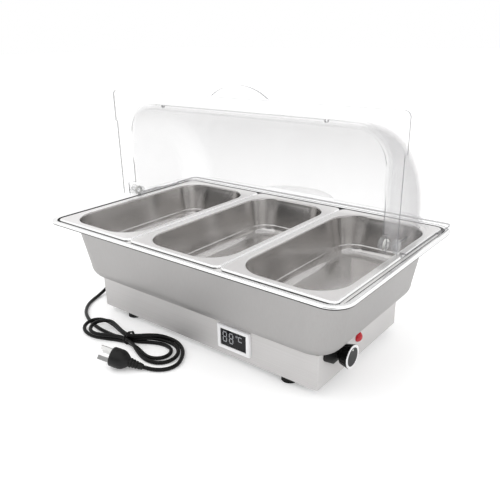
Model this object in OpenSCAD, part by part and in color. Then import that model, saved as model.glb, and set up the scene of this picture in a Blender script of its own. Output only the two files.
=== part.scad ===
// Electric buffet server: a heated water pan on a sheet housing, three lift-out food pans and a
// clear roll-top cover in two halves. Millimetres, +Z up, knob end at +X, display side at -Y.

/* [Rim and water pan] */
// Width of the rolled rim, end to end
rim_w = 560; // [554:1:600]
// Depth of the rolled rim, front to back
rim_d = 352; // [348:1:380]
// Height of the food pans' flanges above the table
flange_z = 172; // [168:1:190]
// Wall thickness of the water pan
water_t = 1.2; // [1:0.1:2]

/* [Housing] */
// Width of the sheet housing
housing_w = 436; // [430:1:440]
// Depth of the sheet housing
housing_d = 237; // [234:1:240]
// Height of the sheet housing
housing_h = 53; // [52:1:54]
// Sheet thickness of the housing
sheet_t = 1.2; // [1:0.1:1.5]
// Height of the rubber feet
foot_h = 12; // [10:1:14]

/* [Food pans] */
// Width of one third-size pan over its flange
pan_w = 176; // [174:0.5:176.5]
// Length of one third-size pan over its flange
pan_l = 325; // [320:1:325]
// Depth of a food pan
pan_depth = 65; // [40:1:80]

/* [Cover] */
// Height of the hinge above the food pans' flanges
hinge_rise = 17; // [16:0.5:20]
// Outer radius of the front half's dome, which rolls inside the rear half
cover_r = 152; // [150:1:153]
// Wall thickness of the cover
cover_t = 3; // [2.5:0.1:3.5]
// Distance from the hinge to the front edge of the cover's flange
flange_reach = 177.3; // [176:0.1:180]
// Distance from the hinge to the tip of a handle
handle_reach = 195; // [190:1:200]

/* [Controls] */
// Distance of the knob behind the middle of the rim, negative towards the front
knob_y = -66; // [-70:1:-60]
// Height of the knob's centre
knob_z = 46.5; // [44:0.5:47]
// Radius of the knob's front
knob_r = 17.5; // [15:0.5:17.5]
// Distance of the display's centre to the right of the middle
display_x = 77.2; // [0:0.1:120]
// Height of the display's centre
display_z = 41.5; // [38:0.5:43]

/* [Cord] */
// Diameter of the mains cord
cord_d = 6; // [6:0.1:7]

/* [Hidden] */
$fn = 96;

// colours
steel = [0.75, 0.74, 0.72];
bright_steel = [0.86, 0.86, 0.85];
dark_steel = [0.5, 0.5, 0.5];
aluminium = [0.8, 0.81, 0.83];
clear = [0.85, 0.92, 0.95, 0.35];
black = [0.07, 0.07, 0.07];
red = [0.75, 0.05, 0.08];
white = [0.95, 0.95, 0.93];
brass = [0.78, 0.62, 0.3];

// the frame's origin is under the middle of the whole box, which the rear handle carries back
frame_y = -(handle_reach - rim_d / 2) / 2;

// levels
housing_top = foot_h + housing_h;
ledge_z = flange_z - 4;
pan_floor_z = flange_z - pan_depth;
hinge_z = flange_z + hinge_rise;

// water pan: insets are measured inwards from the rim's outer rectangle
bead_w = 9.2;
bead_h = 5.6;
rim_corner_r = 30;
well_top_inset = 24.5;
well_low_inset = 35.5;
well_fillet = 27;
well_corner_r = 44;
well_low_corner_r = 42;

// housing
edge_r = 3;
top_lip = 18;
hem = 12;
foot_x = 162;
foot_y = 101;
foot_r = 12;
stud_x = 207;
stud_y = 108;
screw_x = [-180, 0, 180];
screw_y = housing_d / 2 - 7;

// food pans
pan_pitch = pan_w + 0.7;
pan_t = 1;
pan_corner_r = 46;
pan_mouth_inset = 12.5;
pan_low_inset = 20.5;
pan_low_inset_y = 2;
pan_fillet = 14;
pan_step = 1.5;
pan_rim_r = 9;

// heater under the water pan
spreader_t = 1;
spreader_z = housing_top - spreader_t;
element_r = 3.3;
element_z = spreader_z - element_r;
element_y = 50;
element_x = 110;
element_end = -150;
clamp_x = [-100, 0, 90];
clamp_y = 62;
clamp_t = 1.2;
clamp_z = element_z - element_r - clamp_t;

// cover: every outline has its two shoulders about the same centres
shoulder_x = 197;
shoulder_r = 105;
cover_gap = 2.5;
rear_r = cover_r + cover_gap + cover_t;
flange_half_w = 271.3;
flange_corner_r = 8;
flange_start = [-10, 17];
ledge_start = 16;
ledge_w = 9;
ledge_low = -8;
ear_r = 14;
pin_r = 4;
pin_clearance = 0.06;
boss_r = 8;
handle_arc_r = 91;
handle_low = -5;
handle_t = 3.5;
peg_x = 154;
front_wall_x = cover_r + shoulder_x - shoulder_r;
rear_wall_x = rear_r + shoulder_x - shoulder_r;
rear_boss_x = rear_wall_x + 8.5;
rear_lift = 0.25;
front_lift = 0.5;
lap = 10;
rear_edge = -0.6;

// controls on the right-hand end
wall_x = housing_w / 2;
inner_x = wall_x - sheet_t;
plate_t = 1.5;
knob_back = wall_x + 3;
knob_front = wall_x + 21;
knob_neck = 5.5;
knob_neck_r = 9;
knob_flare = 3;
shaft_r = 3;
bushing_r = 4.8;
lamp_y = -10;
lamp_z = 44.5;
lamp_r = 7.5;

// display on the front
wall_y = housing_d / 2;
bezel_w = 60;
bezel_h = 39;
bezel_t = 4;
window_w = 48;
window_h = 27.5;

// cord: leaves the left-hand end, comes down and runs forward to a tied hank
gland_y = -10;
gland_z = 34;
gland_end = -wall_x - 32;
cord_r = cord_d / 2;
cord_route = [
    [gland_end, gland_y, gland_z], [-260, -12.5, 33.4], [-269, -19, 31.4], [-275, -28, 28],
    [-276.5, -40, 23], [-276.5, -54, 17], [-276, -68, 11.5], [-274, -81, 7],
    [-271, -95, 4], [-266.5, -110, cord_r], [-259, -125, cord_r], [-248, -139, cord_r],
    [-234, -151, cord_r], [-217, -160.5, cord_r], [-200, -166.6, cord_r]
];
lead_route = [
    [5, -204, cord_r], [-3, -207, cord_r + 0.2], [-10, -209, cord_r + 0.8], [-16, -210, cord_r + 1.5],
    [-22, -212, 6]
];
hank_tie = [-95, -172];
tie_w = 8;
hank_left = [-175, -173];
hank_upper = [-72, -151];
hank_right = [-12, -176];
plug_tail = [-22, -212, 6];
plug_axis = [-0.88, -0.43, 0.27];
plug_len = 47;

// ---------------------------------------------------------------- helpers

// carries a piece from the rim's centre to the frame's origin
module placed() {
    translate([0, frame_y, 0]) children();
}

// rounded rectangle about the origin
module rrect(w, d, r) {
    square([w - 2 * r, d], center = true);
    square([w, d - 2 * r], center = true);
    for (sx = [-1, 1], sy = [-1, 1]) {
        translate([sx * (w / 2 - r), sy * (d / 2 - r)]) circle(r);
    }
}

// one ring of points around a rounded rectangle of half sizes hx, hy at height z
ring_steps = 6;
function ring(hx, hy, r, z) = [
    for (corner = [0:3], i = [0:ring_steps])
        let (a = 90 * corner + 90 * i / ring_steps)
        let (sx = (corner == 0 || corner == 3) ? 1 : -1)
        let (sy = (corner < 2) ? 1 : -1)
        [sx * (hx - r) + r * cos(a), sy * (hy - r) + r * sin(a), z]
];

// closed solid through rings of equal length, capped at the first and the last
module loft(rings) {
    n = len(rings[0]);
    m = len(rings);
    points = [for (one = rings, p = one) p];
    sides = [
        for (j = [0:m - 2], i = [0:n - 1])
            [j * n + i, (j + 1) * n + i, (j + 1) * n + (i + 1) % n, j * n + (i + 1) % n]
    ];
    polyhedron(points, concat(
        [[for (i = [0:n - 1]) i]],
        sides,
        [[for (i = [n - 1:-1:0]) (m - 1) * n + i]]
    ));
}

// sheet bowl: each profile entry is [inset, height, corner radius], from the inner floor to the outer;
// extra is a further inset along Y of all that lies under extra_z
module bowl(half_w, half_d, profile, extra = 0, extra_z = 0) {
    loft([
        for (p = reversed(profile))
            ring(half_w - p[0], half_d - p[0] - (p[1] < extra_z ? extra : 0), p[2], p[1])
    ]);
}

// quarter-round of a bowl's floor, from the flat floor up to the wall
function fillet_up(inset, z, corner, r) = [
    for (a = [0:22.5:90]) [inset + r * (1 - sin(a)), z + r * (1 - cos(a)), corner - r * (1 - sin(a))]
];
function reversed(list) = [for (i = [len(list) - 1:-1:0]) list[i]];

function unit(v) = v / norm(v);
function side_of(t) = abs(t[2]) > 0.9 ? unit(cross(t, [1, 0, 0])) : unit(cross(t, [0, 0, 1]));

// round tube along points, as one swept solid
module tube(points, r, sides = 8) {
    last = len(points) - 1;
    loft([
        for (k = [0:last])
            let (t = unit(points[min(k + 1, last)] - points[max(k - 1, 0)]))
            let (u = side_of(t))
            let (v = cross(t, u))
            [for (i = [0:sides - 1]) points[k] + r * (cos(360 * i / sides) * u + sin(360 * i / sides) * v)]
    ]);
}

// child cylinder or shape laid along +X
module along_x() {
    rotate([0, 90, 0]) children();
}

// a hexagon nut about Z
module hex_nut(r, h, bore_r) {
    difference() {
        cylinder(r = r, h = h, $fn = 6);
        translate([0, 0, -1]) cylinder(r = bore_r, h = h + 2);
    }
}

// ---------------------------------------------------------------- housing

module housing_shell() {
    color(steel) difference() {
        translate([0, 0, foot_h]) union() {
            linear_extrude(housing_h) difference() {
                rrect(housing_w, housing_d, edge_r);
                rrect(housing_w - 2 * sheet_t, housing_d - 2 * sheet_t, edge_r - sheet_t);
            }
            translate([0, 0, housing_h - sheet_t]) linear_extrude(sheet_t) difference() {
                rrect(housing_w - sheet_t, housing_d - sheet_t, edge_r);
                rrect(housing_w - 2 * top_lip, housing_d - 2 * top_lip, 20);
            }
            translate([0, 0, sheet_t]) linear_extrude(sheet_t) difference() {
                rrect(housing_w - sheet_t, housing_d - sheet_t, edge_r);
                rrect(housing_w - 2 * hem, housing_d - 2 * hem, 8);
            }
        }
        // openings for the display, the thermostat's bushing, the lamp and the cord
        translate([display_x - 25, -wall_y - 1, display_z - 14]) cube([50, 4, 28]);
        translate([inner_x - 1, knob_y, knob_z]) along_x() cylinder(r = bushing_r + 0.2, h = 5);
        translate([inner_x - 1, lamp_y, lamp_z]) along_x() cylinder(r = 4.5, h = 5);
        translate([-wall_x - 1, gland_y, gland_z]) along_x() cylinder(r = 6, h = 4);
        at_studs() translate([0, 0, -10]) cylinder(r = 2.6, h = 20);
        at_bottom_screws() cylinder(r = 1.9, h = 8);
    }
}

module at_studs() {
    for (sx = [-1, 1], sy = [-1, 1]) translate([sx * stud_x, sy * stud_y, housing_top]) children();
}

module at_bottom_screws() {
    for (x = screw_x, sy = [-1, 1]) translate([x, sy * screw_y, foot_h]) children();
}

module at_feet() {
    for (sx = [-1, 1], sy = [-1, 1]) translate([sx * foot_x, sy * foot_y, 0]) children();
}

module bottom_cover() {
    slot_w = 4;
    slot_l = 40;
    color(dark_steel) translate([0, 0, foot_h]) linear_extrude(sheet_t) difference() {
        rrect(housing_w - 2 * sheet_t, housing_d - 2 * sheet_t, edge_r - sheet_t);
        for (x = [-200:10:-180], y = [-40, 40]) translate([x, y]) slot(slot_w, slot_l);
        for (x = [160:10:190], y = [-40, 40]) translate([x, y]) slot(slot_w, slot_l);
        for (x = screw_x, sy = [-1, 1]) translate([x, sy * screw_y]) circle(1.9);
        for (sx = [-1, 1], sy = [-1, 1]) translate([sx * foot_x, sy * foot_y]) circle(2.1);
    }
}

module slot(w, l) {
    square([w, l - w], center = true);
    for (s = [-1, 1]) translate([0, s * (l - w) / 2]) circle(w / 2);
}

module bottom_screws() {
    color(bright_steel) at_bottom_screws() {
        translate([0, 0, -2]) cylinder(r = 3.5, h = 2);
        translate([0, 0, -0.5]) cylinder(r = 1.8, h = 7);
    }
}

module foot(sx, sy) {
    color(black) translate([sx * foot_x, sy * foot_y, 0]) difference() {
        cylinder(r1 = foot_r, r2 = foot_r - 1, h = foot_h);
        translate([0, 0, -1]) cylinder(r = 5, h = 5);
        cylinder(r = 2.1, h = foot_h + 1);
    }
}

module foot_screws() {
    color(bright_steel) at_feet() {
        translate([0, 0, 1.5]) cylinder(r = 4.2, h = 2.5);
        translate([0, 0, 3]) cylinder(r = 2, h = foot_h + 5);
    }
}

module foot_nuts() {
    color(bright_steel) at_feet() translate([0, 0, foot_h + sheet_t]) hex_nut(4, 3.2, 2.02);
}

// ---------------------------------------------------------------- water pan and its fixings

bead_arc = [
    for (a = [180:-30:-90])
        let (x = bead_w / 2 - bead_w / 2 * cos(a))
        [bead_w - x, flange_z - 0.2 - bead_h / 2 + bead_h / 2 * sin(a), rim_corner_r - (bead_w - x)]
];

module water_pan() {
    half_w = rim_w / 2;
    half_d = rim_d / 2;
    inner_top = well_top_inset + water_t;
    inner_low = well_low_inset + water_t;
    profile = concat(
        fillet_up(inner_low, housing_top + water_t, well_low_corner_r - water_t, well_fillet - water_t),
        [
            [inner_top, ledge_z - 2, well_corner_r - water_t],
            [inner_top, ledge_z, well_corner_r - water_t],
            [bead_w, ledge_z, rim_corner_r - bead_w]
        ],
        bead_arc,
        [
            [bead_w + 1, ledge_z - water_t, rim_corner_r - bead_w],
            [well_top_inset, ledge_z - water_t, well_corner_r],
            [well_top_inset, ledge_z - 3, well_corner_r]
        ],
        reversed(fillet_up(well_low_inset, housing_top, well_low_corner_r, well_fillet))
    );
    color(steel) bowl(half_w, half_d, profile);
}

module pan_studs() {
    color(bright_steel) at_studs() translate([0, 0, -12]) cylinder(r = 2.5, h = 12);
}

module pan_nuts() {
    color(bright_steel) at_studs() translate([0, 0, -sheet_t - 4]) hex_nut(4.6, 4, 2.52);
}

// ---------------------------------------------------------------- food pans

module food_pan(i) {
    mouth = pan_mouth_inset + pan_t;
    low = pan_low_inset + pan_t;
    step_z = pan_floor_z + pan_fillet;
    profile = concat(
        fillet_up(low, pan_floor_z, 34, pan_fillet),
        [
            [low - pan_step, step_z + 2, 37],
            [mouth, flange_z - 4, pan_corner_r],
            [mouth - 0.8, flange_z - 1.2, pan_corner_r + 1],
            [mouth - 3, flange_z, pan_corner_r + 2],
            [3, flange_z, pan_rim_r - 2],
            [0.9, flange_z - 0.9, pan_rim_r],
            [0, flange_z - 2.8, pan_rim_r + 1],
            [0, ledge_z, pan_rim_r + 1],
            [pan_t, ledge_z, pan_rim_r],
            [pan_t, flange_z - 2.8, pan_rim_r],
            [1.7, flange_z - 1.6, pan_rim_r - 0.6],
            [3, flange_z - pan_t, pan_rim_r - 2],
            [mouth - 2.4, flange_z - pan_t, pan_corner_r + 2],
            [pan_mouth_inset, flange_z - 4, pan_corner_r + 1],
            [low - pan_step - pan_t, step_z + 2, 38]
        ],
        reversed(fillet_up(low - pan_t, pan_floor_z - pan_t, 35, pan_fillet))
    );
    color(bright_steel) translate([i * pan_pitch, 0, 0]) 
        bowl(pan_w / 2, pan_l / 2, profile, pan_low_inset_y, flange_z - 10);
}

// ---------------------------------------------------------------- heater and wiring

module heat_spreader() {
    color(aluminium) translate([0, 0, spreader_z]) linear_extrude(spreader_t) rrect(360, 170, 12);
}

module heating_element() {
    run = element_x - element_end;
    color(dark_steel) translate([0, 0, element_z]) {
        for (s = [-1, 1]) translate([element_end, s * element_y, 0]) {
            along_x() cylinder(r = element_r, h = run);
            translate([-14, 0, 0]) along_x() cylinder(r = 1.6, h = 15);
        }
        translate([element_x, 0, 0]) rotate([0, 0, -90]) rotate_extrude(angle = 180)
            translate([element_y, 0]) circle(element_r);
    }
}

module at_clamps() {
    for (x = clamp_x, s = [-1, 1]) translate([x, s * clamp_y, clamp_z]) children();
}

module element_clamps() {
    color(steel) difference() {
        for (x = clamp_x) {
            translate([x - 8, -clamp_y - 8, clamp_z]) cube([16, 2 * clamp_y + 16, clamp_t]);
        }
        at_clamps() translate([0, 0, -1]) cylinder(r = 2.1, h = 4);
    }
}

module clamp_studs() {
    color(bright_steel) at_clamps() translate([0, 0, -5]) cylinder(r = 2, h = spreader_z - clamp_z + 5);
}

module clamp_nuts() {
    color(bright_steel) at_clamps() translate([0, 0, -3.2]) hex_nut(4, 3.2, 2.02);
}

module thermal_cutout() {
    color(black) translate([50, 0, spreader_z - 8]) cylinder(r = 8, h = 8);
    color(brass) for (s = [-1, 1]) translate([49.5, s * 4 - 1.5, spreader_z - 14]) cube([1, 3, 7]);
}

module temperature_probe() {
    color(bright_steel) translate([20, -20, spreader_z - 3]) along_x() cylinder(r = 3, h = 30);
}

module insulation_pad() {
    color(white) translate([10, 0, foot_h + sheet_t]) linear_extrude(10) rrect(250, 190, 8);
}

module terminal_block() {
    base = foot_h + sheet_t;
    color(white) translate([-150, 40, base]) difference() {
        translate([-20, -9, 0]) cube([40, 18, 16]);
        for (x = [-12, 0, 12]) translate([x, 0, 8]) cylinder(r = 2.5, h = 9);
    }
}

module internal_wiring() {
    color(brass) {
        tube([[-220, -11.3, 35], [-205, -11.4, 35], [-192, 4, 38], [-176, 20, 34], [-163, 30, 31.5],
            [-162, 38, 31]], 1.2);
        tube([[-220, -8.7, 35], [-205, -8.6, 35], [-190, 6, 42], [-170, 20, 40], [-153, 30, 34],
            [-150, 38, 31]], 1.2);
        tube([[-220, -10, 32.4], [-205, -10, 32.4], [-196, -20, 26], [-182, -34, 22], [-166, -46, 19],
            [-158, -55, 20.4]], 1.2);
        tube([[-138, 38, 31], [-139, 46, 36], [-150, 54, 46], [-163, 54, 56], [-168, 50, element_z],
            [-164.2, 50, element_z]], 1.2);
    }
}

module earth_screw() {
    color(brass) translate([-158, -55, foot_h + sheet_t]) {
        cylinder(r = 2, h = 6);
        cylinder(r = 4.5, h = 2);
    }
}

// ---------------------------------------------------------------- thermostat, knob and lamp

module thermostat_body() {
    color(dark_steel) difference() {
        union() {
            translate([inner_x - 28, knob_y - 17, knob_z - 16]) cube([28, 34, 30]);
            translate([inner_x - 1, knob_y, knob_z]) along_x() cylinder(r = bushing_r, h = 4);
        }
        translate([inner_x - 14, knob_y, knob_z]) along_x() cylinder(r = shaft_r + 0.05, h = 30);
    }
}

module thermostat_bulb() {
    color(brass) {
        tube([[inner_x - 28, knob_y, 42], [172, -62, 45], [158, -52, 50], [146, -42, 54],
            [136, -33, 56], [128, -30, 60], [122, -30, spreader_z - 3]], 1);
        translate([44, -30, spreader_z - 3]) along_x() cylinder(r = 3, h = 80);
    }
}

module thermostat_shaft() {
    color(bright_steel) translate([inner_x - 12, knob_y, knob_z]) along_x() cylinder(r = shaft_r, h = 26);
}

// drop-shaped plate behind the knob, its point towards the front of the housing
module dial_plate() {
    color(black) translate([wall_x, knob_y, knob_z]) along_x() linear_extrude(plate_t) difference() {
        hull() {
            circle(11);
            translate([-10, -33]) circle(7.5);
            translate([6.5, -13.5]) circle(4.5);
        }
        circle(bushing_r + 0.2);
    }
}

module knob_body() {
    length = knob_front - knob_back;
    color(black) translate([knob_back, knob_y, knob_z]) along_x() difference() {
        union() {
            cylinder(r = knob_neck_r, h = knob_neck + 1);
            translate([0, 0, knob_neck]) cylinder(r1 = knob_r - knob_flare, r2 = knob_r, h = length - knob_neck);
        }
        translate([0, 0, length - 1]) cylinder(r = knob_r - 4, h = 2);
        translate([0, 0, -1]) cylinder(r = shaft_r, h = 10.8);
        // finger grooves around the grip
        for (a = [0:20:340]) rotate(a) translate([knob_r - knob_flare + 1.1, 0, knob_neck + 1.5])
            rotate([0, atan(knob_flare / (length - knob_neck)), 0]) cylinder(r = 1.3, h = length - knob_neck - 4);
    }
}

module knob_ring() {
    color(bright_steel) translate([knob_front, knob_y, knob_z]) along_x() difference() {
        cylinder(r = knob_r - 0.3, h = 0.8);
        translate([0, 0, -1]) cylinder(r = knob_r - 4, h = 3);
    }
}

module knob_face() {
    color(dark_steel) translate([knob_front - 1, knob_y, knob_z]) along_x() cylinder(r = knob_r - 4, h = 1.4);
}

module knob_pointer() {
    color(white) translate([knob_front + 0.4, knob_y, knob_z + knob_r - 7]) along_x() cylinder(r = 1.2, h = 0.5);
}

module pilot_lamp_lens() {
    rise = 5;
    ball_r = (lamp_r * lamp_r + rise * rise) / (2 * rise);
    color(red) translate([wall_x, lamp_y, lamp_z]) along_x() {
        cylinder(r = lamp_r, h = 1.5);
        translate([0, 0, 1.5]) intersection() {
            translate([0, 0, rise - ball_r]) sphere(r = ball_r);
            cylinder(r = lamp_r, h = rise + 1);
        }
    }
}

module pilot_lamp_body() {
    color(black) translate([inner_x - 18, lamp_y, lamp_z]) along_x() {
        cylinder(r = 6.5, h = 18);
        cylinder(r = 4.4, h = 18 + sheet_t);
    }
}

// ---------------------------------------------------------------- display

module display_bezel() {
    color(bright_steel) translate([display_x, -wall_y, display_z]) rotate([90, 0, 0]) difference() {
        union() {
            linear_extrude(bezel_t - 1) rrect(bezel_w, bezel_h, 2);
            linear_extrude(bezel_t) rrect(bezel_w - 2, bezel_h - 2, 1.5);
        }
        translate([0, 0, -1]) linear_extrude(bezel_t + 2) square([window_w, window_h], center = true);
    }
}

module display_window() {
    color(black) translate([display_x, -wall_y, display_z]) rotate([90, 0, 0])
        linear_extrude(bezel_t - 1.5) square([window_w, window_h], center = true);
}

module display_case() {
    depth = 18;
    color(black) translate([display_x, -wall_y + depth, display_z]) rotate([90, 0, 0])
        linear_extrude(depth) square([window_w, window_h], center = true);
}

// ---------------------------------------------------------------- roll-top cover

// outline of the cover at one distance from its hinge, open at the hinge side
module cover_outline(r, low) {
    half_w = r - shoulder_r + shoulder_x;
    translate([-half_w, low]) square([2 * half_w, shoulder_r - low]);
    translate([-shoulder_x, low]) square([2 * shoulder_x, r - low]);
    for (s = [-1, 1]) translate([s * shoulder_x, shoulder_r]) circle(r - shoulder_r);
}

// flange plate; its ends draw in a little on the hinge side of the shoulders
module flange_outline(start) {
    r = flange_corner_r;
    waist = 125;
    translate([-flange_half_w + 3.5, start]) square([2 * flange_half_w - 7, waist - start + 1]);
    translate([-flange_half_w, waist]) square([2 * flange_half_w, flange_reach - r - waist]);
    translate([-flange_half_w + r, waist]) square([2 * (flange_half_w - r), flange_reach - waist]);
    for (s = [-1, 1]) translate([s * (flange_half_w - r), flange_reach - r]) circle(r);
}

// dome: the outline turned about the hinge, from the ledge to the open edge
module dome(r, open_edge) {
    intersection() {
        along_x() rotate([0, 0, 84]) rotate_extrude(angle = 103, $fn = 180) rotate(-90) difference() {
            cover_outline(r, 0);
            cover_outline(r - cover_t, -1);
        }
        translate([-300, open_edge, ledge_low]) cube([600, 300, 300]);
    }
}

// one half of the cover about its hinge on the X axis: flange below, dome towards +Y and +Z
module half_cover(r, open_edge, flange_low, start) {
    ledge_r = r + ledge_w;
    dome(r, open_edge);
    translate([0, 0, ledge_low]) linear_extrude(cover_t) difference() {
        cover_outline(ledge_r, ledge_start);
        cover_outline(r - 0.5, 0);
    }
    translate([0, 0, flange_low]) linear_extrude(ledge_low + cover_t - flange_low) difference() {
        cover_outline(ledge_r, ledge_start);
        cover_outline(ledge_r - cover_t, 0);
    }
    // the flange's ends stay inside the circle that clears the pans as the half turns
    intersection() {
        translate([0, 0, flange_low]) linear_extrude(cover_t) difference() {
            flange_outline(start);
            cover_outline(ledge_r - 0.5, -50);
        }
        union() {
            translate([-300, 0, -50]) cube([600, 300, 100]);
            translate([-300, 0, 0]) along_x() cylinder(r = -flange_low, h = 600);
        }
    }
    // handle: a shallow arc that stands out over the flange
    translate([0, 0, handle_low]) linear_extrude(handle_t) difference() {
        translate([0, handle_reach - handle_arc_r]) circle(handle_arc_r);
        cover_outline(r - 0.5, -20);
        translate([-200, -100]) square([400, 110]);
    }
    for (s = [-1, 1]) translate([s * peg_x, r + ledge_w / 2, ledge_low - 4]) cylinder(r = 2.5, h = 5);
}

module rear_cover() {
    color(clear) translate([0, 0, hinge_z]) difference() {
        union() {
            half_cover(rear_r, rear_edge, rear_lift - hinge_rise, flange_start[1]);
            for (s = [-1, 1]) scale([s, 1, 1]) {
                translate([rear_wall_x - cover_t, 0, 0]) along_x() cylinder(r = ear_r, h = cover_t + 0.6);
                translate([rear_wall_x, 0, 0]) along_x() cylinder(r = boss_r, h = rear_boss_x - rear_wall_x);
            }
        }
        translate([-300, 0, 0]) along_x() cylinder(r = pin_r, h = 600);
    }
}

// shown rolled back: its flange stands upright and its dome lies inside the rear half
module front_cover() {
    color(clear) translate([0, 0, hinge_z]) rotate([-90, 0, 0]) rotate([0, 0, 180]) difference() {
        union() {
            half_cover(cover_r, -lap, front_lift - hinge_rise, flange_start[0]);
            for (s = [-1, 1]) scale([s, 1, 1]) {
                translate([front_wall_x - cover_t, 0, 0]) along_x() cylinder(r = ear_r, h = cover_t);
            }
        }
        translate([-300, 0, 0]) along_x() cylinder(r = pin_r + pin_clearance, h = 600);
    }
}

module hinge_pin(s) {
    head_t = 3.5;
    inner = front_wall_x - cover_t - 0.5;
    color(clear) translate([0, 0, hinge_z]) scale([s, 1, 1]) {
        translate([inner - head_t, 0, 0]) along_x() cylinder(r = boss_r, h = head_t);
        translate([inner - 1, 0, 0]) along_x() cylinder(r = pin_r, h = rear_boss_x + 3 - inner + 1);
    }
}

module hinge_cap(s) {
    color(clear) translate([s * rear_boss_x, 0, hinge_z]) scale([s, 1, 1]) along_x() difference() {
        union() {
            cylinder(r = boss_r + 1.5, h = 4);
            cylinder(r1 = boss_r + 1.5, r2 = boss_r, h = 5);
        }
        translate([0, 0, -1]) cylinder(r = pin_r, h = 4);
    }
}

module pivot_washers() {
    color(white) for (s = [-1, 1]) translate([0, 0, hinge_z]) scale([s, 1, 1]) {
        translate([front_wall_x + 0.2, 0, 0]) along_x() difference() {
            cylinder(r = boss_r, h = cover_gap - 0.2);
            translate([0, 0, -1]) cylinder(r = pin_r, h = cover_gap + 2);
        }
    }
}

// ---------------------------------------------------------------- cord and plug

module cord_gland() {
    color(black) difference() {
        union() {
            translate([gland_end, gland_y, gland_z]) along_x() cylinder(r1 = cord_r + 1.2, r2 = 7, h = 28);
            translate([-wall_x - 4, gland_y, gland_z]) along_x() cylinder(r = 9.5, h = 4);
            translate([-wall_x - 1, gland_y, gland_z]) along_x() cylinder(r = 5.9, h = 10);
        }
        translate([-wall_x - 3, gland_y, gland_z]) along_x() cylinder(r = cord_r, h = 20);
    }
}

module gland_nut() {
    color(black) translate([-inner_x, gland_y, gland_z]) along_x() hex_nut(10, 5, 5.92);
}

module power_cord() {
    color(black) tube(cord_route, cord_r);
}

module plug_lead() {
    color(black) tube(lead_route, cord_r);
}

// closed outline of the tied turns: a short lobe to the left of the tie and a wide one to the right
module cord_hank() {
    color(black) {
        difference() {
            linear_extrude(18) hull() {
                translate(hank_left) circle(24, $fn = 32);
                translate(hank_tie) circle(9, $fn = 32);
            }
            translate([hank_tie[0] - tie_w / 2, -250, -1]) cube([60, 200, 30]);
        }
        difference() {
            linear_extrude(13) hull() {
                translate(hank_tie) circle(9, $fn = 32);
                translate(hank_upper) circle(24, $fn = 32);
                translate(hank_right) circle(31, $fn = 32);
            }
            translate([hank_tie[0] + tie_w / 2 - 60, -250, -1]) cube([60, 200, 30]);
        }
    }
}

module cord_tie() {
    color(black) translate([hank_tie[0] - tie_w / 2, hank_tie[1], 11]) along_x()
        linear_extrude(tie_w) rrect(22, 24, 6);
}

// everything on the plug is drawn along its own axis from the cord's end
module on_plug() {
    yaw = atan2(plug_axis[1], plug_axis[0]);
    lean = acos(plug_axis[2] / norm(plug_axis));
    translate(plug_tail) rotate([0, lean, yaw]) children();
}

module plug_body() {
    color(black) on_plug() rotate_extrude() polygon([
        [0, 0], [4.6, 0], [5.6, 8], [7, 17], [9, 21], [11.5, 24], [13.4, 27], [14.5, 31],
        [14.5, plug_len - 3], [13.8, plug_len - 1], [12.5, plug_len], [0, plug_len]
    ]);
}

module plug_pins() {
    color(bright_steel) on_plug() translate([0, 0, plug_len]) {
        for (s = [-1, 1]) translate([3, s * 7.9, 8.5]) rotate([0, 0, s * 30]) cube([6.3, 1.6, 17], center = true);
        translate([-9.5, 0, 8.5]) cube([6.3, 1.6, 17], center = true);
    }
}

// ---------------------------------------------------------------- nodes

placed() housing_shell();
placed() bottom_cover();
placed() bottom_screws();
placed() foot(-1, -1);  // foot_front_left
placed() foot(1, -1);  // foot_front_right
placed() foot(-1, 1);  // foot_rear_left
placed() foot(1, 1);  // foot_rear_right
placed() foot_screws();
placed() foot_nuts();
placed() water_pan();
placed() pan_studs();
placed() pan_nuts();
placed() food_pan(-1);  // food_pan_left
placed() food_pan(0);  // food_pan_centre
placed() food_pan(1);  // food_pan_right
placed() heat_spreader();
placed() heating_element();
placed() element_clamps();
placed() clamp_studs();
placed() clamp_nuts();
placed() thermal_cutout();
placed() temperature_probe();
placed() insulation_pad();
placed() terminal_block();
placed() internal_wiring();
placed() earth_screw();
placed() thermostat_body();
placed() thermostat_bulb();
placed() thermostat_shaft();
placed() dial_plate();
placed() knob_body();
placed() knob_ring();
placed() knob_face();
placed() knob_pointer();
placed() pilot_lamp_lens();
placed() pilot_lamp_body();
placed() display_bezel();
placed() display_window();
placed() display_case();
placed() rear_cover();
placed() front_cover();
placed() hinge_pin(-1);  // hinge_pin_left
placed() hinge_pin(1);  // hinge_pin_right
placed() hinge_cap(-1);  // hinge_cap_left
placed() hinge_cap(1);  // hinge_cap_right
placed() pivot_washers();
placed() cord_gland();
placed() gland_nut();
placed() power_cord();
placed() cord_hank();
placed() cord_tie();
placed() plug_lead();
placed() plug_body();
placed() plug_pins();
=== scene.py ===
"""Looks of the electric buffet server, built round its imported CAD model."""

import math

import bmesh
import bpy
from mathutils import Matrix, Vector


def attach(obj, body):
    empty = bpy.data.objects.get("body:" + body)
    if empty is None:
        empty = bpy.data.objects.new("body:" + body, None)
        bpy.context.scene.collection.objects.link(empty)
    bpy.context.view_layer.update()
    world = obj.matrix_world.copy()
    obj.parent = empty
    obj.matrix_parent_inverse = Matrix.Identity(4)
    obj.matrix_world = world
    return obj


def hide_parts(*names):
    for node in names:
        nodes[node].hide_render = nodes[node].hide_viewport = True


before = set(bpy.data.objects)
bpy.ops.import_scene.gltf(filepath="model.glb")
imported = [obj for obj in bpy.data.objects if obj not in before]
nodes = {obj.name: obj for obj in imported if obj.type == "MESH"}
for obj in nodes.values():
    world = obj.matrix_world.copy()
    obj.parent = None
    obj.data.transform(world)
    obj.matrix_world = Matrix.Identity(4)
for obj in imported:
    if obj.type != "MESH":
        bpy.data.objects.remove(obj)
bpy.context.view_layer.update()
scene = bpy.context.scene

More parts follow.
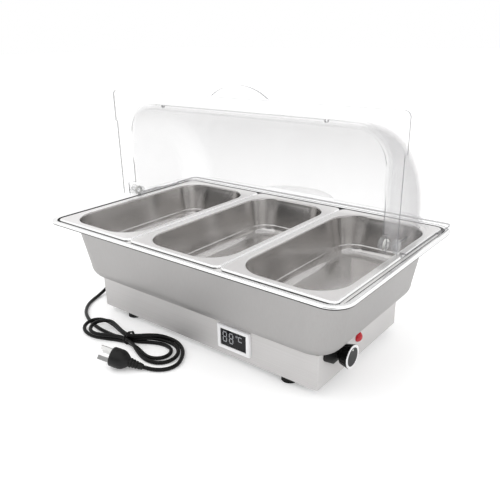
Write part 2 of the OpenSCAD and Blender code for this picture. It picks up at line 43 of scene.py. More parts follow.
MM = 0.001
FRAME_Y = -9.5  # the frame's origin, from the middle of the rim
RIM_HALF = (280.0, 176.0)
RIM_CORNER = 30
FLANGE_Z = 172.0
CORD_D = 6.0
GLAND = (-250.0, -10.0, 34.0)
TIE = (-95.0, -172.0)
PLUG_TAIL = (-22.0, -212.0, 6.0)
PLUG_AXIS = Vector((-0.88, -0.43, 0.27)).normalized()


def at(x, y, z):
    """A point given in millimetres from the middle of the rim, in the row frame."""
    return Vector((x * MM, (y + FRAME_Y) * MM, z * MM))


# ------------------------------------------------------------------ camera

camera_data = bpy.data.cameras.new("camera")
camera = bpy.data.objects.new("camera", camera_data)
scene.collection.objects.link(camera)
scene.camera = camera
camera_data.sensor_width = 36.0
camera_data.lens = 40.42
camera_data.clip_start = 0.01
camera_data.clip_end = 50.0
YAW, PITCH, ROLL = -0.672, 0.367, -0.016
forward = Vector((math.sin(YAW) * math.cos(PITCH), math.cos(YAW) * math.cos(PITCH), -math.sin(PITCH)))
right = Vector((math.cos(YAW), -math.sin(YAW), 0.0))
up = right.cross(forward)
rolled_right = right * math.cos(ROLL) + up * math.sin(ROLL)
rolled_up = -right * math.sin(ROLL) + up * math.cos(ROLL)
turn = Matrix((rolled_right, rolled_up, -forward)).transposed()
camera.matrix_world = Matrix.Translation(at(538.9, -659.7, 452.9)) @ turn.to_4x4()

# ------------------------------------------------------------------ materials


def new_material(name):
    material = bpy.data.materials.new(name)
    material.use_nodes = True
    return material, material.node_tree.nodes["Principled BSDF"], material.node_tree


def plain(name, colour, roughness, metallic=0.0, speckle=0.0, scale=400.0, bump=0.0, coat=0.0, spec=0.5):
    """A moulded, plated or sheet finish: slight colour and roughness variation, with a fine bump."""
    material, shader, tree = new_material(name)
    shader.inputs["Metallic"].default_value = metallic
    shader.inputs["Coat Weight"].default_value = coat
    shader.inputs["Coat Roughness"].default_value = 0.1
    shader.inputs["Specular IOR Level"].default_value = spec
    place = tree.nodes.new("ShaderNodeTexCoord")
    noise = tree.nodes.new("ShaderNodeTexNoise")
    noise.inputs["Scale"].default_value = scale
    noise.inputs["Detail"].default_value = 4.0
    tree.links.new(place.outputs["Object"], noise.inputs["Vector"])
    ramp = tree.nodes.new("ShaderNodeValToRGB")
    ramp.color_ramp.elements[0].color = tuple(c * (1 - speckle) for c in colour) + (1,)
    ramp.color_ramp.elements[1].color = tuple(min(1.0, c * (1 + speckle)) for c in colour) + (1,)
    tree.links.new(noise.outputs["Fac"], ramp.inputs["Fac"])
    tree.links.new(ramp.outputs["Color"], shader.inputs["Base Color"])
    rough = tree.nodes.new("ShaderNodeMapRange")
    rough.inputs["To Min"].default_value = max(0.02, roughness * 0.85)
    rough.inputs["To Max"].default_value = min(1.0, roughness * 1.15)
    tree.links.new(noise.outputs["Fac"], rough.inputs["Value"])
    tree.links.new(rough.outputs["Result"], shader.inputs["Roughness"])
    if bump:
        bumps = tree.nodes.new("ShaderNodeBump")
        bumps.inputs["Strength"].default_value = bump
        bumps.inputs["Distance"].default_value = 0.0002
        tree.links.new(noise.outputs["Fac"], bumps.inputs["Height"])
        tree.links.new(bumps.outputs["Normal"], shader.inputs["Normal"])
    return material


def brushed(name, colour, roughness, grain=(4.0, 900.0, 900.0), depth=0.08, cloud=0.05):
    """Rolled or pressed stainless sheet: a fine grain drawn out along one axis, and faint clouding."""
    material, shader, tree = new_material(name)
    shader.inputs["Metallic"].default_value = 1.0
    place = tree.nodes.new("ShaderNodeTexCoord")
    stretch = tree.nodes.new("ShaderNodeMapping")
    stretch.inputs["Scale"].default_value = grain
    tree.links.new(place.outputs["Object"], stretch.inputs["Vector"])
    lines = tree.nodes.new("ShaderNodeTexNoise")
    lines.inputs["Scale"].default_value = 1.0
    lines.inputs["Detail"].default_value = 3.0
    tree.links.new(stretch.outputs["Vector"], lines.inputs["Vector"])
    clouds = tree.nodes.new("ShaderNodeTexNoise")
    clouds.inputs["Scale"].default_value = 9.0
    clouds.inputs["Detail"].default_value = 2.0
    tree.links.new(place.outputs["Object"], clouds.inputs["Vector"])
    tint = tree.nodes.new("ShaderNodeValToRGB")
    tint.color_ramp.elements[0].color = tuple(c * (1 - cloud) for c in colour) + (1,)
    tint.color_ramp.elements[1].color = tuple(min(1.0, c * (1 + cloud)) for c in colour) + (1,)
    tree.links.new(clouds.outputs["Fac"], tint.inputs["Fac"])
    tree.links.new(tint.outputs["Color"], shader.inputs["Base Color"])
    rough = tree.nodes.new("ShaderNodeMapRange")
    rough.inputs["To Min"].default_value = roughness * 0.8
    rough.inputs["To Max"].default_value = min(1.0, roughness * 1.2)
    tree.links.new(lines.outputs["Fac"], rough.inputs["Value"])
    tree.links.new(rough.outputs["Result"], shader.inputs["Roughness"])
    bumps = tree.nodes.new("ShaderNodeBump")
    bumps.inputs["Strength"].default_value = depth
    bumps.inputs["Distance"].default_value = 0.0002
    tree.links.new(lines.outputs["Fac"], bumps.inputs["Height"])
    tree.links.new(bumps.outputs["Normal"], shader.inputs["Normal"])
    return material


def clear_plastic(name, colour, facing, grazing, roughness=0.05, spec=0.5):
    """Clear polycarbonate: nearly invisible face on, greyer where it is seen along the sheet."""
    material, shader, tree = new_material(name)
    shader.inputs["Base Color"].default_value = (*colour, 1)
    shader.inputs["Roughness"].default_value = roughness
    shader.inputs["IOR"].default_value = 1.58
    shader.inputs["Specular IOR Level"].default_value = spec
    weight = tree.nodes.new("ShaderNodeLayerWeight")
    weight.inputs["Blend"].default_value = 0.35
    spread = tree.nodes.new("ShaderNodeMapRange")
    spread.inputs["To Min"].default_value = facing
    spread.inputs["To Max"].default_value = grazing
    tree.links.new(weight.outputs["Facing"], spread.inputs["Value"])
    tree.links.new(spread.outputs["Result"], shader.inputs["Alpha"])
    return material


steel_wall = brushed("steel_wall", (0.41, 0.402, 0.398), 0.5, grain=(900.0, 900.0, 3.0), depth=0.05)
steel_housing = brushed("steel_housing", (0.68, 0.67, 0.665), 0.7)
steel_pan = brushed("steel_pan", (0.61, 0.597, 0.587), 0.19, grain=(300.0, 3.0, 300.0), depth=0.012)
steel_flange = brushed("steel_flange", (0.84, 0.825, 0.82), 0.34, grain=(900.0, 3.0, 900.0), depth=0.04)
steel_lip = plain("steel_lip", (0.93, 0.93, 0.93), 0.09, metallic=1.0, speckle=0.01, scale=30.0)
# painted shade: near-black steel for the groove beside the rim's bead and for the bead's outer underside
steel_painted_shade = plain("steel_painted_shade", (0.03, 0.03, 0.03), 0.4, metallic=1.0, speckle=0.05, scale=60.0)
steel_plain = plain("steel_plain", (0.62, 0.62, 0.62), 0.4, metallic=1.0, speckle=0.05)
fastener = plain("fastener", (0.68, 0.68, 0.67), 0.3, metallic=1.0, speckle=0.05)
aluminium = plain("aluminium", (0.78, 0.79, 0.8), 0.35, metallic=1.0, speckle=0.04)
sheath = plain("sheath", (0.2, 0.18, 0.17), 0.5, metallic=1.0, speckle=0.2, scale=150.0, bump=0.1)
copper = plain("copper", (0.7, 0.38, 0.25), 0.3, metallic=1.0, speckle=0.06)
brass = plain("brass", (0.74, 0.56, 0.27), 0.3, metallic=1.0, speckle=0.05)
chrome = plain("chrome", (0.88, 0.88, 0.89), 0.08, metallic=1.0, speckle=0.01, scale=60.0)
rubber = plain("rubber", (0.012, 0.012, 0.012), 0.62, speckle=0.2, scale=900.0, bump=0.15, spec=0.15)
phenolic = plain("phenolic", (0.008, 0.008, 0.008), 0.4, speckle=0.1, scale=900.0, bump=0.08, spec=0.15)
knob_black = plain("knob_black", (0.006, 0.006, 0.006), 0.25, speckle=0.1, scale=900.0, bump=0.05, spec=0.15)
knob_grey = plain("knob_grey", (0.02, 0.021, 0.022), 0.35, metallic=0.1, speckle=0.08, scale=500.0, bump=0.05,
                  spec=0.15)
white_paint = plain("white_paint", (0.9, 0.9, 0.88), 0.5, speckle=0.02)
wool = plain("wool", (0.8, 0.78, 0.72), 0.95, speckle=0.1, scale=300.0, bump=0.8)
ceramic = plain("ceramic", (0.85, 0.83, 0.78), 0.25, speckle=0.03, coat=0.4)
sleeve = plain("sleeve", (0.55, 0.2, 0.06), 0.55, speckle=0.1, scale=600.0, bump=0.1)
cord_black = plain("cord_black", (0.006, 0.006, 0.006), 0.3, speckle=0.15, scale=700.0, bump=0.06, spec=0.18)
plug_black = plain("plug_black", (0.010, 0.010, 0.010), 0.4, speckle=0.15, scale=1200.0, bump=0.15, spec=0.25)
bezel_silver = plain("bezel_silver", (0.86, 0.86, 0.87), 0.35, speckle=0.02, scale=800.0, bump=0.04)
display_black = plain("display_black", (0.008, 0.008, 0.010), 0.12, speckle=0.05, spec=0.2)
nylon = plain("nylon", (0.8, 0.8, 0.78), 0.45, speckle=0.03)

lamp_red, lamp_shader, _ = new_material("lamp_red")
lamp_shader.inputs["Base Color"].default_value = (0.42, 0.004, 0.014, 1)
lamp_shader.inputs["Roughness"].default_value = 0.12
lamp_shader.inputs["Specular IOR Level"].default_value = 0.3
lamp_shader.inputs["Coat Weight"].default_value = 0.3
lamp_shader.inputs["Coat Roughness"].default_value = 0.05
lamp_shader.inputs["Emission Color"].default_value = (0.8, 0.01, 0.03, 1)
lamp_shader.inputs["Emission Strength"].default_value = 0.05
digit_grey, digit_shader, _ = new_material("digit_grey")
digit_shader.inputs["Base Color"].default_value = (0.35, 0.36, 0.38, 1)
digit_shader.inputs["Roughness"].default_value = 0.3

clear_sheet = clear_plastic("clear_sheet", (0.70, 0.70, 0.71), 0.04, 0.12)
# painted shade: the dome is a darker grey than the flat plates of the same clear sheet
clear_dome_painted_shade = clear_plastic("clear_dome_painted_shade", (0.36, 0.35, 0.36), 0.065, 0.2)
# painted shade: a nearly opaque dark grey with little gloss for the cut edges of the clear plates
clear_edge_painted_shade = clear_plastic("clear_edge_painted_shade", (0.16, 0.16, 0.17), 0.6, 0.75, 0.4, 0.05)
clear_solid = clear_plastic("clear_solid", (0.6, 0.61, 0.62), 0.10, 0.5)

# ------------------------------------------------------------------ mesh helpers


def link(name, mesh, materials):
    piece = bpy.data.objects.new(name, mesh)
    for material in materials:
        mesh.materials.append(material)
    scene.collection.objects.link(piece)
    return piece


def finish_piece(piece, body, replaced=(), sharp=35.0):
    """Smooth shading with sharp creases, then its body and the nodes it stands for."""
    if piece.type == "MESH":
        mesh = bmesh.new()
        mesh.from_mesh(piece.data)
        limit = math.radians(sharp)
        for edge in mesh.edges:
            edge.smooth = len(edge.link_faces) == 2 and edge.calc_face_angle(0.0) < limit
        for face in mesh.faces:
            face.smooth = True
        mesh.to_mesh(piece.data)
        mesh.free()
    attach(piece, body)
    if replaced:
        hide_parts(*replaced)
    return piece


def weighted(piece):
    modifier = piece.modifiers.new("normals", "WEIGHTED_NORMAL")
    modifier.keep_sharp = True
    return piece


def ring(half_x, half_y, radius, z, steps, centre=(0.0, 0.0)):
    """Points round a rounded rectangle, counter-clockwise from the +X side."""
    points = []
    for corner in range(4):
        sx = 1 if corner in (0, 3) else -1
        sy = 1 if corner < 2 else -1
        for i in range(steps + 1):
            a = math.radians(90 * corner + 90 * i / steps)
            x = centre[0] + sx * (half_x - radius) + radius * math.cos(a)
            y = centre[1] + sy * (half_y - radius) + radius * math.sin(a)
            points.append(at(x, y, z))
    return points


def lofted(name, rings, materials, face_material):
    """A closed skin through rings of equal length; face_material(i) is the slot of the faces after ring i."""
    mesh = bmesh.new()
    layers = [[mesh.verts.new(p) for p in one] for one in rings]
    count = len(layers[0])
    for i, (low, high) in enumerate(zip(layers, layers[1:])):
        for k in range(count):
            face = mesh.faces.new((low[k], low[(k + 1) % count], high[(k + 1) % count], high[k]))
            face.material_index = face_material(i)
    first = mesh.faces.new(list(reversed(layers[0])))
    first.material_index = face_material(0)
    last = mesh.faces.new(layers[-1])
    last.material_index = face_material(len(rings) - 2)
    bmesh.ops.recalc_face_normals(mesh, faces=mesh.faces)
    data = bpy.data.meshes.new(name)
    mesh.to_mesh(data)
    mesh.free()
    return link(name, data, materials)


def fillet(inset, z, corner, radius, steps=8):
    """A bowl's floor radius, from the flat floor up to the wall, as [inset, height, corner radius]."""
    rows = []
    for i in range(steps + 1):
        a = math.radians(90 * i / steps)
        rows.append([inset + radius * (1 - math.sin(a)), z + radius * (1 - math.cos(a)),
                     corner - radius * (1 - math.sin(a))])
    return rows


def catmull(points, spacing):
    """A smooth line through the points, with new points about spacing apart."""
    line = []
    padded = [points[0] * 2 - points[1], *points, points[-1] * 2 - points[-2]]
    for a, b, c, d in zip(padded, padded[1:], padded[2:], padded[3:]):
        t0 = 0.0
        t1 = t0 + (b - a).length ** 0.5
        t2 = t1 + (c - b).length ** 0.5
        t3 = t2 + (d - c).length ** 0.5
        count = max(2, round((c - b).length / spacing))
        for i in range(count):
            t = t1 + (t2 - t1) * i / count
            ab = a * ((t1 - t) / (t1 - t0)) + b * ((t - t0) / (t1 - t0))
            bc = b * ((t2 - t) / (t2 - t1)) + c * ((t - t1) / (t2 - t1))
            cd = c * ((t3 - t) / (t3 - t2)) + d * ((t - t2) / (t3 - t2))
            abc = ab * ((t2 - t) / (t2 - t0)) + bc * ((t - t0) / (t2 - t0))
            bcd = bc * ((t3 - t) / (t3 - t1)) + cd * ((t - t1) / (t3 - t1))
            line.append(abc * ((t2 - t) / (t2 - t1)) + bcd * ((t - t1) / (t2 - t1)))
    line.append(points[-1])
    return line


def tube_curve(name, points, diameter, material):
    data = bpy.data.curves.new(name, "CURVE")
    data.dimensions = "3D"
    data.bevel_depth = diameter * MM / 2
    data.bevel_resolution = 5
    data.use_fill_caps = True
    spline = data.splines.new("POLY")
    spline.points.add(len(points) - 1)
    for target, p in zip(spline.points, points):
        target.co = (*p, 1)
    spline.use_smooth = True
    data.materials.append(material)
    piece = bpy.data.objects.new(name, data)
    scene.collection.objects.link(piece)
    return piece


def turned(name, profile, origin, axis, material, segments=48):
    """A turned piece: profile is [distance along the axis, radius] in millimetres, and origin is a point
    in the row frame."""
    axis = axis.normalized()
    side = axis.cross(Vector((0, 0, 1)) if abs(axis.z) < 0.9 else Vector((1, 0, 0))).normalized()
    other = axis.cross(side)
    mesh = bmesh.new()
    rows = []
    for along, radius in profile:
        row = []
        for k in range(segments):
            a = 2 * math.pi * k / segments
            out = (side * math.cos(a) + other * math.sin(a)) * max(radius, 0.01)
            row.append(mesh.verts.new(origin + (axis * along + out) * MM))
        rows.append(row)
    for low, high in zip(rows, rows[1:]):
        for k in range(segments):
            mesh.faces.new((low[k], low[(k + 1) % segments], high[(k + 1) % segments], high[k]))
    mesh.faces.new(list(reversed(rows[0])))
    mesh.faces.new(rows[-1])
    bmesh.ops.recalc_face_normals(mesh, faces=mesh.faces)
    data = bpy.data.meshes.new(name)
    mesh.to_mesh(data)
    mesh.free()
    return link(name, data, [material])


# ------------------------------------------------------------------ cord

R = CORD_D / 2
TOP = 3 * R  # a strand that lies on another one
ROUTE = [
    (-228, -10, 34), (-240, -10, 34), (-250, -10, 34), (-260, -12.5, 33.4), (-269, -19, 31.4),
    (-275, -28, 28), (-276.5, -40, 23), (-276.5, -54, 17), (-276, -68, 11.5), (-274, -81, 7),
    (-271, -95, 4), (-266.5, -110, R), (-259, -125, R), (-248, -139, R), (-234, -151, R),
    (-217, -160.5, R), (-199, -167, R), (-182, -171.5, R), (-165, -174, R), (-147, -174.5, R),
    (-130, -174, R), (-112, -172, R), (-95, -168, R),
    # right, inner loop
    (-80, -161.5, R), (-66, -153.5, R), (-52, -147.5, R), (-38, -146, R), (-26, -149, R),
    (-18.5, -157, R), (-16.5, -167.5, R), (-20, -176.5, R), (-27.5, -182.5, R), (-37, -185, R),
    (-49, -183.5, R), (-63, -179.5, R), (-78, -176.5, R), (-95, -175, R),
    # left, far fold
    (-112, -179, R), (-129, -186, R), (-146, -192.5, R), (-160, -195.5, R), (-172, -195.5, 4.2),
    (-182, -192.5, 5.8), (-189, -185.5, 7.6), (-191.5, -176, 9.2), (-189, -166.5, 9.6),
    (-182, -159.5, 9.6), (-172, -156.8, 9.4), (-160, -156.8, 9), (-145, -159.2, 9), (-129, -163.5, 9),
    (-112, -167.3, 9), (-95, -168.5, TOP),
    # right, middle loop
    (-80.5, -161, TOP), (-67.5, -149.5, 7.8), (-54, -140, 5), (-38, -136, R), (-22.5, -139.5, R),
    (-10, -149, R), (-3.5, -163, R), (-4.5, -177, R), (-13, -187.5, R), (-27, -192, R), (-42, -191, R),
    (-57, -187, 4.8), (-76, -180.5, 8.4), (-95, -176.5, TOP),
    # left, near fold
    (-111, -178.5, 9.4), (-126, -185.5, 9.6), (-137, -191.5, 10), (-147, -196.3, 10.8),
    (-157, -197, 12), (-165.5, -192, 13.2), (-170.3, -182.5, 14.4), (-169.3, -172.3, 15.2),
    (-163, -164.2, 15.4), (-153, -160.4, 15.2), (-142, -161.8, 15), (-129, -165.5, 15),
    (-113, -170, 14.8), (-95, -171.5, 14.4),
    # right, outer turn
    (-82, -165, 15), (-70.5, -152.5, 14), (-58.5, -140, 11.2), (-46, -132, 7), (-32, -129.6, 4),
    (-17.5, -134.8, R), (-4, -145, R), (6, -158.5, R), (12, -171.5, R), (12, -184.5, R), (6, -195.5, R),
    (-4, -203, R), (-13.5, -208, 4.2), (-22, -212, 6), (-28.5, -215.2, 7.5),
]
route = catmull([at(*p) for p in ROUTE], 4 * MM)
cord = tube_curve("mains_cord", route, CORD_D, cord_black)
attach(cord, "base")
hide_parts("power_cord", "cord_hank", "plug_lead")

# strain relief: a tapered sleeve with four bending grooves, and a collar against the housing
relief = [(0, 9.5), (1.2, 10.2), (3.4, 10.2), (4.4, 9.2), (4.6, 7.2)]
for i in range(4):
    start = 5.5 + 6 * i
    radius = 7.0 - 0.75 * i
    relief += [(start, radius), (start + 3.6, radius - 0.35), (start + 3.9, radius - 1.5),
               (start + 5.6, radius - 1.6), (start + 5.9, radius - 0.7)]
relief += [(30.0, 4.2), (31.6, 3.9), (32.0, 3.2)]
gland = turned("strain_relief", relief, at(-218.0, GLAND[1], GLAND[2]), Vector((-1, 0, 0)), plug_black, 40)
finish_piece(gland, "base", ["cord_gland"])

# plug: a ribbed grip that widens into a round head with a rolled edge
PLUG = [(-3, 3.1), (-2.4, 4.3), (0, 4.6)]
for i in range(4):
    start = 1.5 + 4.4 * i
    radius = 5.0 + 0.62 * i
    PLUG += [(start, radius), (start + 2.5, radius + 0.4), (start + 2.8, radius - 0.7),
             (start + 3.9, radius - 0.5)]
PLUG += [(19.4, 7.6), (21, 8.9), (23.5, 11.0), (26, 12.7), (28.5, 13.8), (31, 14.4), (34, 14.5), (44, 14.5),
         (45.8, 14.0), (46.9, 12.9), (47, 11.0)]
plug = turned("plug_grip", PLUG, at(*PLUG_TAIL), PLUG_AXIS, plug_black, 56)
finish_piece(plug, "base", ["plug_body"], sharp=40.0)

# tie: a wire twist round the strands, with its two ends standing out to the front
tie_points = []
TIE_STEPS, TIE_RADIUS = 24, 9.8
for i in range(TIE_STEPS + 1):
    a = 2 * math.pi * i / TIE_STEPS
    tie_points.append(at(TIE[0] - 1.5 + 3 * i / TIE_STEPS, TIE[1] + TIE_RADIUS * math.cos(a),
                         max(1.0, 9.4 + TIE_RADIUS * math.sin(a))))
tie_points += [at(-92, -166, 19.4), at(-90, -176, 20.4), at(-88.5, -181, 18.4)]
tie = tube_curve("twist_tie", catmull(tie_points, 2 * MM), 2.0, phenolic)
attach(tie, "base")
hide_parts("cord_tie")

nodes["plug_pins"].data.materials.clear()
nodes["plug_pins"].data.materials.append(steel_lip)

# ------------------------------------------------------------------ water pan

BEAD_W, BEAD_H = 9.2, 5.6
LEDGE_Z = FLANGE_Z - 4.0
HOUSING_TOP = 65.0
SHEET = 1.2


def water_pan():
    wall, lip_slot, painted_shade_slot, flange = range(4)
    top, low, corner, low_corner, radius = 24.5, 35.5, 44.0, 42.0, 27.0
    rows = [[low + SHEET + 30, HOUSING_TOP + SHEET, 8]]
    rows += fillet(low + SHEET, HOUSING_TOP + SHEET, low_corner - SHEET, radius - SHEET)
    inner = len(rows)
    rows += [[top + SHEET + 0.3, LEDGE_Z - 4, corner - SHEET], [top + SHEET, LEDGE_Z - 1.2, corner - SHEET],
             [top + SHEET - 0.6, LEDGE_Z, corner - SHEET + 0.6],
             [BEAD_W + 3.2, LEDGE_Z, RIM_CORNER - BEAD_W - 2],
             [BEAD_W + 1.2, LEDGE_Z, RIM_CORNER - BEAD_W - 1]]
    groove = len(rows)
    mid_z = FLANGE_Z - 0.2 - BEAD_H / 2
    rows.append([BEAD_W, LEDGE_Z + 0.5, RIM_CORNER - BEAD_W])
    for i in range(19):
        # from the inner side over the top to the outside and under: squarer than an ellipse, flat on top
        a = math.radians(270 * i / 18)
        inset = BEAD_W / 2 * (1 + math.cos(a))
        rise = math.copysign(abs(math.sin(a)) ** 0.7, math.sin(a))
        rows.append([inset, mid_z + BEAD_H / 2 * rise, RIM_CORNER - inset])
    lip = len(rows)
    rows += [[BEAD_W - 3, LEDGE_Z - SHEET - 0.6, 22], [BEAD_W + 1, LEDGE_Z - SHEET, 19],
             [top - 1.5, LEDGE_Z - SHEET, corner + 1], [top, LEDGE_Z - SHEET - 1.5, corner],
             [top + 0.2, LEDGE_Z - 5, corner]]
    under = len(rows)
    rows += reversed(fillet(low, HOUSING_TOP, low_corner, radius))
    rows.append([low + 50, HOUSING_TOP, 4])

    def slot(i):
        if i < inner + 2:
            return wall
        if i < inner + 3:
            return flange
        # painted shade in the groove: the ledge's strip beside the bead and the bead's inner foot
        if i < groove + 3:
            return painted_shade_slot
        if i < lip - 7:
            return lip_slot
        # painted shade on the bead's outer lower side and underside
        if i < lip:
            return painted_shade_slot
        return flange if i < under - 2 else wall

    rings = [ring(RIM_HALF[0] - r[0], RIM_HALF[1] - r[0], r[2], r[1], 14) for r in rows]
    return lofted("water_pan_shell", rings, [steel_wall, steel_lip, steel_painted_shade, steel_flange], slot)


water = weighted(water_pan())
finish_piece(water, "base", ["water_pan"], sharp=50.0)

# ------------------------------------------------------------------ food pans

PAN_HALF = (88.0, 162.5)
PAN_FLOOR = 107.0


def food_pan(name, centre):
    bowl, flange, polished = range(3)
    low, low_y = 21.5, 2.0
    mouth = 13.5

    def row(inset, z, corner, extra=0.0):
        return [inset, z, corner, extra]

    rows = [row(low + 40, PAN_FLOOR, 6, low_y)]
    rows += [row(*r, low_y) for r in fillet(low, PAN_FLOOR, 34, 14)]
    step = PAN_FLOOR + 14
    rows += [row(low - 0.3, step + 0.6, 34.3, low_y), row(low - 1.2, step + 1.3, 35.3, low_y),
             row(low - 1.5, step + 2.6, 35.6, low_y)]
    rows += [row(mouth + 0.35, 164, 45.5), row(mouth, 168, 46), row(mouth - 0.35, 169.6, 46.4),
             row(mouth - 1.1, 170.9, 47.1), row(mouth - 2.2, 171.7, 48.2), row(mouth - 3.6, 172.0, 49.6)]
    mouth_end = len(rows)
    rows += [row(3.0, 172.0, 8.0), row(1.9, 171.75, 8.6), row(0.9, 171.1, 9.3), row(0.25, 170.2, 9.8),
             row(0, 169.2, 10), row(0, 168.1, 10)]
    edge_end = len(rows) - 1
    rows += [row(1, 168.1, 9.2), row(1, 169.2, 9.2), row(1.7, 170.4, 8.9), row(3, 171, 8),
             row(mouth - 3.6, 171.0, 50.6), row(mouth - 1.6, 169.8, 48.6), row(mouth - 1.0, 168, 47)]
    rows += [row(low - 2.5, step + 2.6, 36.6, low_y), row(low - 1.3, step + 0.3, 35.3, low_y)]
    rows += [row(*r, low_y) for r in reversed(fillet(low - 1, PAN_FLOOR - 1, 35, 14))]

    def slot(i):
        if mouth_end <= i < edge_end:
            return polished
        return flange if mouth_end - 3 <= i < edge_end + 5 else bowl

    rings = [ring(PAN_HALF[0] - r[0], PAN_HALF[1] - r[0] - r[3], r[2], r[1], 12, (centre, 0.0)) for r in rows]
    return lofted(name, rings, [steel_pan, steel_flange, steel_lip], slot)


for name, centre in (("left", -176.7), ("centre", 0.0), ("right", 176.7)):
    pan = weighted(food_pan(f"food_pan_{name}_pressed", centre))
    finish_piece(pan, f"food_pan_{name}_body", [f"food_pan_{name}"], sharp=50.0)

# ------------------------------------------------------------------ display digits


def bar(mesh, x0, z0, x1, z1, y):
    corners = [at(x0, y, z0), at(x1, y, z0), at(x1, y, z1), at(x0, y, z1)]
    front = [mesh.verts.new(c) for c in corners]
    back = [mesh.verts.new(c + Vector((0, 0.4 * MM, 0))) for c in corners]
    mesh.faces.new(front)
    mesh.faces.new(list(reversed(back)))
    for k in range(4):
        mesh.faces.new((front[k], back[k], back[(k + 1) % 4], front[(k + 1) % 4]))


HOUSING_FRONT = -118.5
DIGITS_AHEAD = 2.7


def digits():
    mesh = bmesh.new()
    y = HOUSING_FRONT - DIGITS_AHEAD
    top, mid, bottom = 50.0, 42.2, 34.4
    for left in (57.0, 69.0):
        wide, thick = 8.0, 1.5
        for z in (top, mid, bottom):
            bar(mesh, left + 1.0, z - thick / 2, left + wide - 1.0, z + thick / 2, y)
        for x in (left, left + wide - thick):
            bar(mesh, x, bottom + 1.2, x + thick, mid - 1.2, y)
            bar(mesh, x, mid + 1.2, x + thick, top - 1.2, y)
    # degree ring and C
    for x0, z0, x1, z1 in ((82.0, 49.4, 84.5, 50.2), (82.0, 47.2, 84.5, 48.0), (81.5, 47.6, 82.3, 49.8),
                           (84.2, 47.6, 85.0, 49.8), (87.1, 48.6, 92.5, 50.0), (87.1, 41.6, 92.5, 43.0),
                           (86.1, 42.4, 87.5, 49.2)):
        bar(mesh, x0, z0, x1, z1, y)
    bmesh.ops.recalc_face_normals(mesh, faces=mesh.faces)
    data = bpy.data.meshes.new("display_digits")
    mesh.to_mesh(data)
    mesh.free()
    return link("display_digits", data, [digit_grey])


finish_piece(digits(), "base", ())

# ------------------------------------------------------------------ materials of the CAD nodes

FINISH = {
    "housing_shell": steel_housing, "bottom_cover": steel_plain, "element_clamps": steel_plain,
    "thermostat_body": steel_plain, "heat_spreader": aluminium, "heating_element": sheath,
    "insulation_pad": wool, "terminal_block": ceramic, "internal_wiring": sleeve, "earth_screw": brass,
    "thermostat_bulb": copper, "thermal_cutout": phenolic, "dial_plate": phenolic, "gland_nut": phenolic,
    "pilot_lamp_body": phenolic, "display_case": phenolic, "knob_body": knob_black, "knob_ring": chrome,
    "knob_face": knob_grey, "knob_pointer": white_paint, "pilot_lamp_lens": lamp_red,
    "display_bezel": bezel_silver, "display_window": display_black, "pivot_washers": nylon,
    "rear_cover": clear_sheet, "front_cover": clear_sheet,
}
for name in nodes:
    if name.startswith("foot_") and name not in ("foot_screws", "foot_nuts"):
        FINISH[name] = rubber
    elif name.startswith("hinge_"):
        FINISH[name] = clear_solid
for name, node in nodes.items():
    node.data.materials.clear()
    node.data.materials.append(FINISH.get(name, fastener))

EDGE_SHADE_SLOT, DOME_SHADE_SLOT = 1, 2


def cover_faces(name, axis, dome_from, layers):
    """Finish a cover: painted shade on its dome and on the cut edges of its plates. axis is the one across
    the plates, and each of layers is a plate's two faces and the height that its painted grey edge starts
    from."""
    data = nodes[name].data
    data.materials.append(clear_edge_painted_shade)
    data.materials.append(clear_dome_painted_shade)
    for face in data.polygons:
        across = [data.vertices[v].co[axis] / MM - (FRAME_Y if axis == 1 else 0.0) for v in face.vertices]
        if max(across) > dome_from:
            face.material_index = DOME_SHADE_SLOT
        for low_side, high_side, lowest in layers:
            within = min(across) > low_side - 0.2 and max(across) < high_side + 0.2
            if within and abs(face.normal[axis]) < 0.3 and face.center.z / MM > lowest:
                face.material_index = EDGE_SHADE_SLOT


cover_faces("rear_cover", 2, 185.0, [(172.25, 175.25, 0), (181.0, 184.0, 0)])
cover_faces("front_cover", 1, 0.0,
            [(-16.5, -13.5, 0), (-13.5, -8.0, 0), (-8.0, -5.0, 0), (-5.0, -1.5, 366.5)])

# ------------------------------------------------------------------ floor, light and surroundings

bpy.ops.mesh.primitive_plane_add(size=30, location=(0, 0, -0.0002))
floor = bpy.context.object
floor.name = "floor"
white, white_shader, _ = new_material("floor_white")
white_shader.inputs["Base Color"].default_value = (0.93, 0.93, 0.93, 1)
white_shader.inputs["Roughness"].default_value = 0.9
white_shader.inputs["Specular IOR Level"].default_value = 0.1
white_shader.inputs["Emission Color"].default_value = (1, 1, 1, 1)
white_shader.inputs["Emission Strength"].default_value = 0.2
floor.data.materials.append(white)

world = bpy.data.worlds.new("studio")
scene.world = world
world.use_nodes = True
tree = world.node_tree
surroundings = tree.nodes["Background"]
surroundings.inputs["Strength"].default_value = 1.12
backdrop = tree.nodes.new("ShaderNodeBackground")
backdrop.inputs["Color"].default_value = (1, 1, 1, 1)
place = tree.nodes.new("ShaderNodeTexCoord")
split = tree.nodes.new("ShaderNodeSeparateXYZ")
tree.links.new(place.outputs["Generated"], split.inputs["Vector"])
sky = tree.nodes.new("ShaderNodeValToRGB")
sky.color_ramp.elements[0].position = 0.0
sky.color_ramp.elements[0].color = (0.75, 0.75, 0.75, 1)
sky.color_ramp.elements[1].position = 0.6
sky.color_ramp.elements[1].color = (1.0, 1.0, 1.0, 1)
tree.links.new(split.outputs["Z"], sky.inputs["Fac"])
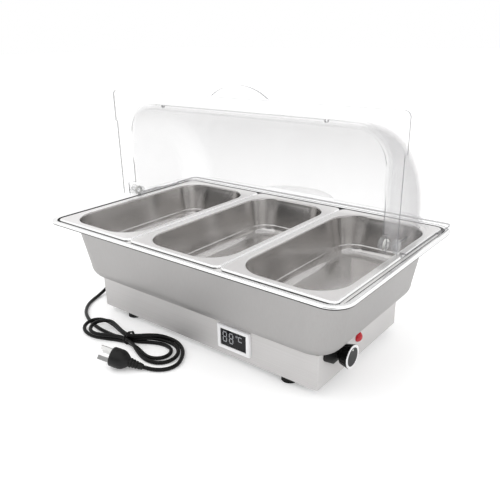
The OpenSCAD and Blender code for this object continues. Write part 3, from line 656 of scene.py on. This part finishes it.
# darkens the surroundings in a cone round one fixed direction at the front
facing = tree.nodes.new("ShaderNodeVectorMath")
facing.operation = "DOT_PRODUCT"
facing.inputs[1].default_value = (0.309, -0.951, 0.0)
tree.links.new(place.outputs["Generated"], facing.inputs[0])
dark = tree.nodes.new("ShaderNodeValToRGB")
dark.color_ramp.elements[0].position = 0.82
dark.color_ramp.elements[0].color = (1.0, 1.0, 1.0, 1)
dark.color_ramp.elements[1].position = 0.92
dark.color_ramp.elements[1].color = (0.08, 0.08, 0.08, 1)
tree.links.new(facing.outputs["Value"], dark.inputs["Fac"])
shade = tree.nodes.new("ShaderNodeMix")
shade.data_type = "RGBA"
shade.blend_type = "MULTIPLY"
# sockets of a Mix node set to colour, by index, because its other types' sockets have the same names
MIX_FACTOR, MIX_A, MIX_B, MIX_RESULT = 0, 6, 7, 2
shade.inputs[MIX_FACTOR].default_value = 1.0
tree.links.new(sky.outputs["Color"], shade.inputs[MIX_A])
tree.links.new(dark.outputs["Color"], shade.inputs[MIX_B])
tree.links.new(shade.outputs[MIX_RESULT], surroundings.inputs["Color"])
# camera rays meet a plain white background, and every other ray the shaded surroundings
rays = tree.nodes.new("ShaderNodeLightPath")
choose = tree.nodes.new("ShaderNodeMixShader")
tree.links.new(rays.outputs["Is Camera Ray"], choose.inputs["Fac"])
tree.links.new(surroundings.outputs["Background"], choose.inputs[1])
tree.links.new(backdrop.outputs["Background"], choose.inputs[2])
tree.links.new(choose.outputs["Shader"], tree.nodes["World Output"].inputs["Surface"])


def area(name, location, target, size, power):
    data = bpy.data.lights.new(name, "AREA")
    data.shape = "RECTANGLE"
    data.size, data.size_y = size
    data.energy = power
    light = bpy.data.objects.new(name, data)
    light.location = location
    light.rotation_mode = "QUATERNION"
    light.rotation_quaternion = (Vector(target) - Vector(location)).to_track_quat("-Z", "Y")
    scene.collection.objects.link(light)
    return light


# neither light shows in a reflection
for light in (area("key", (-0.9, -1.0, 2.4), (0, 0, 0.1), (2.4, 2.4), 16.0),
              area("fill", (1.8, -0.6, 1.2), (0, 0, 0.1), (1.2, 1.2), 5.0)):
    light.visible_glossy = False

# a ray crosses many faces of the stacked clear covers
scene.cycles.transparent_max_bounces = 32
scene.view_settings.view_transform = "Standard"
scene.view_settings.look = "None"
scene.view_settings.exposure = 0.0
